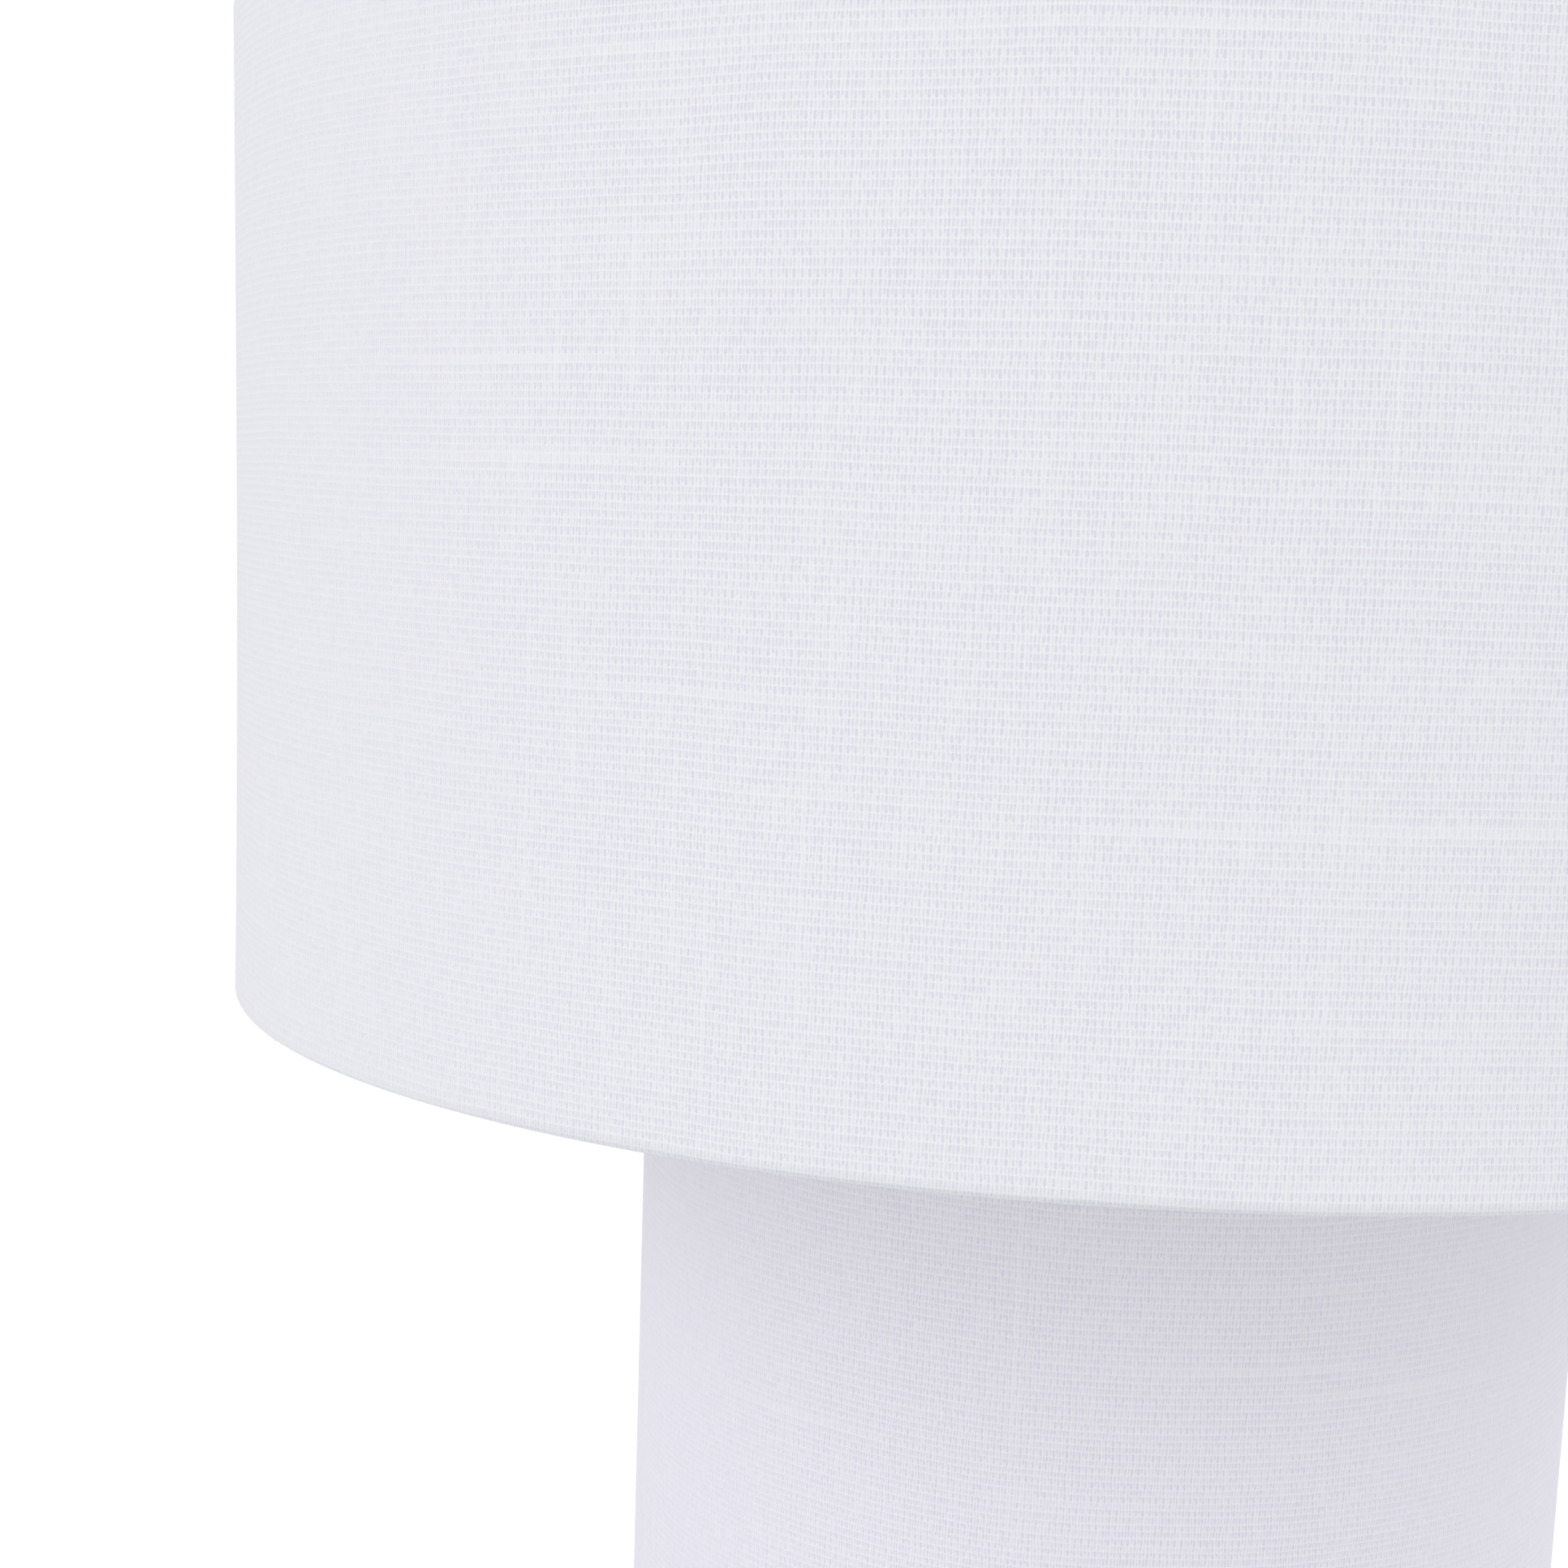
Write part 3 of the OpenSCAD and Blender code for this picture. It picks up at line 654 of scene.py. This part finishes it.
fuzzShape = {
    "inset": 0.0008,  # from the cloth's edge to the middle of the fibres
    "perMetre": 9000,  # fibres for each metre of the rim's radius
    "length": 0.0008,
    "thickness": 0.022,  # half of a fibre's own thickness, for a fibre of length 1
    "bend": ((0, 0, 0), (0, 0, 0.35), (0.35, 0.1, 0.6), (0.6, 0.25, 0.75)),
    "tilt": 1.1,
    "spin": 3.1,
    "sizes": (0.35, 1.25),
    "strewLow": (-0.0006, -0.0006, -0.0002),
    "strewHigh": (0.0006, 0.0006, 0.0009),
}


def buildFuzzTree(material):
    # short loose fibres that stand off a round edge
    tree, ins, outs = newGeometryTree("edgeFuzz", [
        ("Radius", "NodeSocketFloat", 0.2), ("Height", "NodeSocketFloat", 0.0),
        ("Count", "NodeSocketInt", 900), ("Length", "NodeSocketFloat", 0.0006),
        ("Down", "NodeSocketFloat", -1.0), ("Seed", "NodeSocketInt", 1)])
    circle = addNode(tree, "GeometryNodeCurvePrimitiveCircle")
    feed(tree, circle.inputs["Resolution"], ins.outputs["Count"])
    feed(tree, circle.inputs["Radius"], ins.outputs["Radius"])
    strand = addNode(tree, "GeometryNodeCurvePrimitiveBezierSegment")
    strand.inputs["Resolution"].default_value = 3
    for label, place in zip(("Start", "Start Handle", "End Handle", "End"), fuzzShape["bend"]):
        strand.inputs[label].default_value = place
    section = addNode(tree, "GeometryNodeCurvePrimitiveCircle")
    section.inputs["Resolution"].default_value = 3
    section.inputs["Radius"].default_value = fuzzShape["thickness"]
    skin = addNode(tree, "GeometryNodeCurveToMesh")
    feed(tree, skin.inputs["Curve"], strand.outputs[0])
    feed(tree, skin.inputs["Profile Curve"], section.outputs[0])
    spin = addNode(tree, "FunctionNodeRandomValue", data_type="FLOAT_VECTOR")
    tilt, turn = fuzzShape["tilt"], fuzzShape["spin"]
    spin.inputs[0].default_value = (-tilt, -tilt, -turn)
    spin.inputs[1].default_value = (tilt, tilt, turn)
    feed(tree, spin.inputs["Seed"], ins.outputs["Seed"])
    size = addNode(tree, "FunctionNodeRandomValue", data_type="FLOAT")
    size.inputs[2].default_value, size.inputs[3].default_value = fuzzShape["sizes"]
    feed(tree, size.inputs["Seed"], ins.outputs["Seed"])
    strew = addNode(tree, "GeometryNodeInstanceOnPoints")
    feed(tree, strew.inputs["Points"], circle.outputs[0])
    feed(tree, strew.inputs["Instance"], skin.outputs[0])
    feed(tree, strew.inputs["Rotation"], spin.outputs[0])
    feed(tree, strew.inputs["Scale"], calc(tree, "MULTIPLY", size.outputs[1], ins.outputs["Length"]))
    shift = addNode(tree, "FunctionNodeRandomValue", data_type="FLOAT_VECTOR")
    shift.inputs[0].default_value = fuzzShape["strewLow"]
    shift.inputs[1].default_value = fuzzShape["strewHigh"]
    wander = addNode(tree, "GeometryNodeSetPosition")
    feed(tree, wander.inputs["Geometry"], strew.outputs[0])
    feed(tree, wander.inputs["Offset"], shift.outputs[0])
    place = addNode(tree, "GeometryNodeTransform")
    feed(tree, place.inputs["Geometry"], wander.outputs[0])
    where = joinXyz(tree, axisX, axisY, ins.outputs["Height"])
    feed(tree, place.inputs["Translation"], where)
    feed(tree, place.inputs["Scale"], joinXyz(tree, 1.0, 1.0, ins.outputs["Down"]))
    solid = addNode(tree, "GeometryNodeRealizeInstances")
    feed(tree, solid.inputs[0], place.outputs[0])
    paint = addNode(tree, "GeometryNodeSetMaterial")
    feed(tree, paint.inputs["Geometry"], solid.outputs[0])
    paint.inputs["Material"].default_value = material
    feed(tree, outs.inputs[0], paint.outputs[0])
    return tree


fuzzTree = buildFuzzTree(fibre)
for label, node, seed in (("upper", "upper_cover", 4), ("lower", "lower_cover", 9)):
    low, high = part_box(node)
    rim = (high.x - low.x) / 2 - fuzzShape["inset"]
    count = int(rim * fuzzShape["perMetre"])
    bakeTree(label + "RimFuzz", fuzzTree, "lamp", "cotton",
             Radius=rim, Height=low.z + fuzzShape["inset"], Count=count, Length=fuzzShape["length"],
             Down=-1.0, Seed=seed)
    bakeTree(label + "TopFuzz", fuzzTree, "lamp", "cotton",
             Radius=rim, Height=high.z - fuzzShape["inset"], Count=count, Length=fuzzShape["length"],
             Down=1.0, Seed=seed + 1)
print("edge fibres made")


def finishTree(tree, geometry, outs, material):
    solid = addNode(tree, "GeometryNodeRealizeInstances")
    feed(tree, solid.inputs[0], geometry)
    smooth = addNode(tree, "GeometryNodeSetShadeSmooth")
    feed(tree, smooth.inputs["Geometry"], solid.outputs[0])
    paint = addNode(tree, "GeometryNodeSetMaterial")
    feed(tree, paint.inputs["Geometry"], smooth.outputs[0])
    paint.inputs["Material"].default_value = material
    feed(tree, outs.inputs[0], paint.outputs[0])


def buildRingTree(name, material):
    # round rings in a row down a leg
    tree, ins, outs = newGeometryTree(name, [
        ("Radius", "NodeSocketFloat", 0.013), ("Thickness", "NodeSocketFloat", 0.0005),
        ("Count", "NodeSocketInt", 3), ("Spacing", "NodeSocketFloat", 0.006),
        ("Place", "NodeSocketVector", None), ("Turn", "NodeSocketVector", None)])
    row = addNode(tree, "GeometryNodeMeshLine")
    row.mode = "OFFSET"
    feed(tree, row.inputs["Count"], ins.outputs["Count"])
    below = calc(tree, "MULTIPLY", ins.outputs["Spacing"], -1.0)
    feed(tree, row.inputs["Offset"], joinXyz(tree, 0.0, 0.0, below))
    circle = addNode(tree, "GeometryNodeCurvePrimitiveCircle")
    circle.inputs["Resolution"].default_value = 64
    feed(tree, circle.inputs["Radius"], ins.outputs["Radius"])
    section = addNode(tree, "GeometryNodeCurvePrimitiveCircle")
    section.inputs["Resolution"].default_value = 8
    feed(tree, section.inputs["Radius"], ins.outputs["Thickness"])
    ring = addNode(tree, "GeometryNodeCurveToMesh")
    feed(tree, ring.inputs["Curve"], circle.outputs[0])
    feed(tree, ring.inputs["Profile Curve"], section.outputs[0])
    rings = addNode(tree, "GeometryNodeInstanceOnPoints")
    feed(tree, rings.inputs["Points"], row.outputs[0])
    feed(tree, rings.inputs["Instance"], ring.outputs[0])
    place = addNode(tree, "GeometryNodeTransform")
    feed(tree, place.inputs["Geometry"], rings.outputs[0])
    feed(tree, place.inputs["Translation"], ins.outputs["Place"])
    feed(tree, place.inputs["Rotation"], ins.outputs["Turn"])
    finishTree(tree, place.outputs[0], outs, material)
    return tree


weldShape = {
    "size": 0.0024,
    "squash": 0.88,
    "armRadius": 0.0018,  # from an arm's edge in the spider's box to its middle
    "inFromHoop": 0.0006,
}


def buildWeldTree(name, material):
    # one small bead of weld metal at each arm
    tree, ins, outs = newGeometryTree(name, [
        ("Radius", "NodeSocketFloat", 0.1), ("Height", "NodeSocketFloat", 1.0),
        ("Bearing", "NodeSocketFloat", 0.0), ("Count", "NodeSocketInt", 3),
        ("Size", "NodeSocketFloat", 0.0024)])
    circle = addNode(tree, "GeometryNodeMeshCircle")
    feed(tree, circle.inputs["Vertices"], ins.outputs["Count"])
    feed(tree, circle.inputs["Radius"], ins.outputs["Radius"])
    bead = addNode(tree, "GeometryNodeMeshIcoSphere")
    bead.inputs["Subdivisions"].default_value = 3
    feed(tree, bead.inputs["Radius"], ins.outputs["Size"])
    beads = addNode(tree, "GeometryNodeInstanceOnPoints")
    feed(tree, beads.inputs["Points"], circle.outputs[0])
    feed(tree, beads.inputs["Instance"], bead.outputs[0])
    beads.inputs["Scale"].default_value = (1.0, 1.0, weldShape["squash"])
    place = addNode(tree, "GeometryNodeTransform")
    feed(tree, place.inputs["Geometry"], beads.outputs[0])
    feed(tree, place.inputs["Translation"], joinXyz(tree, axisX, axisY, ins.outputs["Height"]))
    feed(tree, place.inputs["Rotation"], joinXyz(tree, 0.0, 0.0, ins.outputs["Bearing"]))
    finishTree(tree, place.outputs[0], outs, material)
    return tree


legTrim = {
    "ribFrom": 0.9365,  # down the leg from its pivot
    "ribCount": 3,
    "ribSpacing": 0.0062,
    "ribThickness": 0.0007,
    "footRadius": 0.013,
    "collarFrom": 0.0270,
    "collarCount": 2,
    "collarSpacing": 0.0375,
    "collarThickness": 0.0006,
    "ferruleRadius": 0.017,
}
ribTree = buildRingTree("footRibs", materials["foot_rubber"])
collarTree = buildRingTree("ferruleCollars", materials["black_metal"])
for leg in legNames:
    pivot, turn, down = legFrame(leg)
    bakeTree(leg + "FootRibs", ribTree, leg + "_leg", "foot_rubber", Radius=legTrim["footRadius"],
             Thickness=legTrim["ribThickness"], Count=legTrim["ribCount"], Spacing=legTrim["ribSpacing"],
             Place=pivot + down * legTrim["ribFrom"], Turn=turn)
    bakeTree(leg + "FerruleCollars", collarTree, leg + "_leg", "black_metal",
             Radius=legTrim["ferruleRadius"], Thickness=legTrim["collarThickness"],
             Count=legTrim["collarCount"], Spacing=legTrim["collarSpacing"],
             Place=pivot + down * legTrim["collarFrom"], Turn=turn)

weldTree = buildWeldTree("armWelds", materials["frame_wire"])
for tier, hoop, turnedBy in (("upper", "upper_bottom_hoop", 90.0), ("lower", "lower_top_hoop", 150.0)):
    low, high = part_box(tier + "_spider")
    hoopLow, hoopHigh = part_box(hoop)
    hoopWire = (hoopHigh.z - hoopLow.z) / 2
    armHeight = high.z - weldShape["armRadius"] if tier == "upper" else low.z + weldShape["armRadius"]
    outer = (hoopHigh.x - hoopLow.x) / 2 - 2 * hoopWire - weldShape["inFromHoop"]
    bakeTree(tier + "OuterWelds", weldTree, "lamp", "frame_wire", Radius=outer, Height=armHeight,
             Bearing=math.radians(turnedBy), Count=3, Size=weldShape["size"])
print("ribs, collars and welds made")


# ---- stage, light and camera ----
stageLook = {
    "floorSize": 60.0,
    "floorColour": (0.96, 0.96, 0.96, 1),
    "floorPatches": (0.94, 0.94, 0.94, 1),
    "roomLevel": 0.745,
    "fromRight": 0.63,  # extra light from each side
    "fromFront": 0.12,
    "fromLeft": 0.04,
    "backdropBoost": 0.33,  # the backdrop is brighter than the walls
    "ceilingBoost": 0.15,
    "boostFrom": 0.80,  # how squarely a direction faces the backdrop or ceiling, 0 to 1
    "boostTo": 0.92,
    "seenLevel": 1.06,
}
lightLook = {
    "aimHeight": 1.2,
    "sunFrom": (-0.785, -0.453, 0.423),
    "sunStrength": 0.92,
    "sunSpread": 50.0,
    "boxPlace": (0.75, -1.05, 2.35),
    "boxSize": 0.8,
    "boxPower": 1.6,
}
cameraLook = {
    "place": (-0.0759, -0.6677, 1.4076),
    "turn": (80.082, -1.871, 0.405),
    "lens": 62.76,
    "shiftUp": 0.1104,
}


def makeStage():
    mesh = bpy.data.meshes.new("floor")
    half = stageLook["floorSize"] / 2
    corners = [(-half, -half, 0), (half, -half, 0), (half, half, 0), (-half, half, 0)]
    mesh.from_pydata(corners, [], [(0, 1, 2, 3)])
    material, tree, shader = newMaterial("paleFloor")
    place = addNode(tree, "ShaderNodeTexCoord").outputs["Object"]
    patches = noise(tree, place, 1.3, 4.0)
    tint = mixColour(tree, patches, stageLook["floorColour"], stageLook["floorPatches"])
    feed(tree, shader.inputs["Base Color"], tint)
    setShader(tree, shader, Roughness=0.9, Specular_IOR_Level=0.2)
    mesh.materials.append(material)
    floor = newObject("floor", mesh)
    world = bpy.data.worlds.new("studio")
    world.use_nodes = True
    tree = world.node_tree
    split = addNode(tree, "ShaderNodeSeparateXYZ")
    feed(tree, split.inputs[0], addNode(tree, "ShaderNodeTexCoord").outputs["Generated"])
    x, y, z = split.outputs
    right = calc(tree, "MULTIPLY", calc(tree, "MAXIMUM", x, 0.0), stageLook["fromRight"])
    left = calc(tree, "MULTIPLY", calc(tree, "MINIMUM", x, 0.0), -stageLook["fromLeft"])
    front = calc(tree, "MULTIPLY", calc(tree, "MINIMUM", y, 0.0), -stageLook["fromFront"])
    edges = (stageLook["boostFrom"], stageLook["boostTo"], 0.0)
    backdrop = ramp(tree, y, *edges, stageLook["backdropBoost"])
    backdrop = calc(tree, "ADD", backdrop, ramp(tree, z, *edges, stageLook["ceilingBoost"]))
    sides = calc(tree, "ADD", calc(tree, "ADD", left, right), calc(tree, "ADD", front, backdrop))
    light = calc(tree, "ADD", sides, stageLook["roomLevel"])
    # the room itself is seen evenly white
    seen = addNode(tree, "ShaderNodeLightPath").outputs["Is Camera Ray"]
    unseen = calc(tree, "MULTIPLY", light, calc(tree, "SUBTRACT", 1.0, seen))
    strength = calc(tree, "MULTIPLY_ADD", seen, stageLook["seenLevel"], unseen)
    feed(tree, tree.nodes["Background"].inputs["Strength"], strength)
    tree.nodes["Background"].inputs["Color"].default_value = (1.0, 1.0, 1.0, 1)
    scene.world = world


lightTarget = Vector((axisX, axisY, lightLook["aimHeight"]))


def aimedLight(name, data, place):
    light = bpy.data.objects.new(name, data)
    light.location = place
    aim = lightTarget - Vector(place)
    light.rotation_euler = aim.to_track_quat("-Z", "Y").to_euler()
    scene.collection.objects.link(light)


def makeLights():
    sun = bpy.data.lights.new("broadSun", "SUN")
    sun.energy = lightLook["sunStrength"]
    sun.angle = math.radians(lightLook["sunSpread"])
    aimedLight("broadSun", sun, lightTarget + Vector(lightLook["sunFrom"]) * 3)
    box = bpy.data.lights.new("softBox", "AREA")
    box.shape = "SQUARE"
    box.size = lightLook["boxSize"]
    box.energy = lightLook["boxPower"]
    aimedLight("softBox", box, lightLook["boxPlace"])


def makeCamera():
    data = bpy.data.cameras.new("camera")
    data.sensor_width = 36.0
    data.lens = cameraLook["lens"]
    data.shift_y = cameraLook["shiftUp"]
    data.clip_start = 0.02
    data.clip_end = 200.0
    camera = bpy.data.objects.new("camera", data)
    camera.location = cameraLook["place"]
    camera.rotation_euler = [math.radians(angle) for angle in cameraLook["turn"]]
    scene.collection.objects.link(camera)
    scene.camera = camera


makeStage()
makeLights()
makeCamera()
scene.view_settings.view_transform = "Standard"
print("stage, light and camera set")
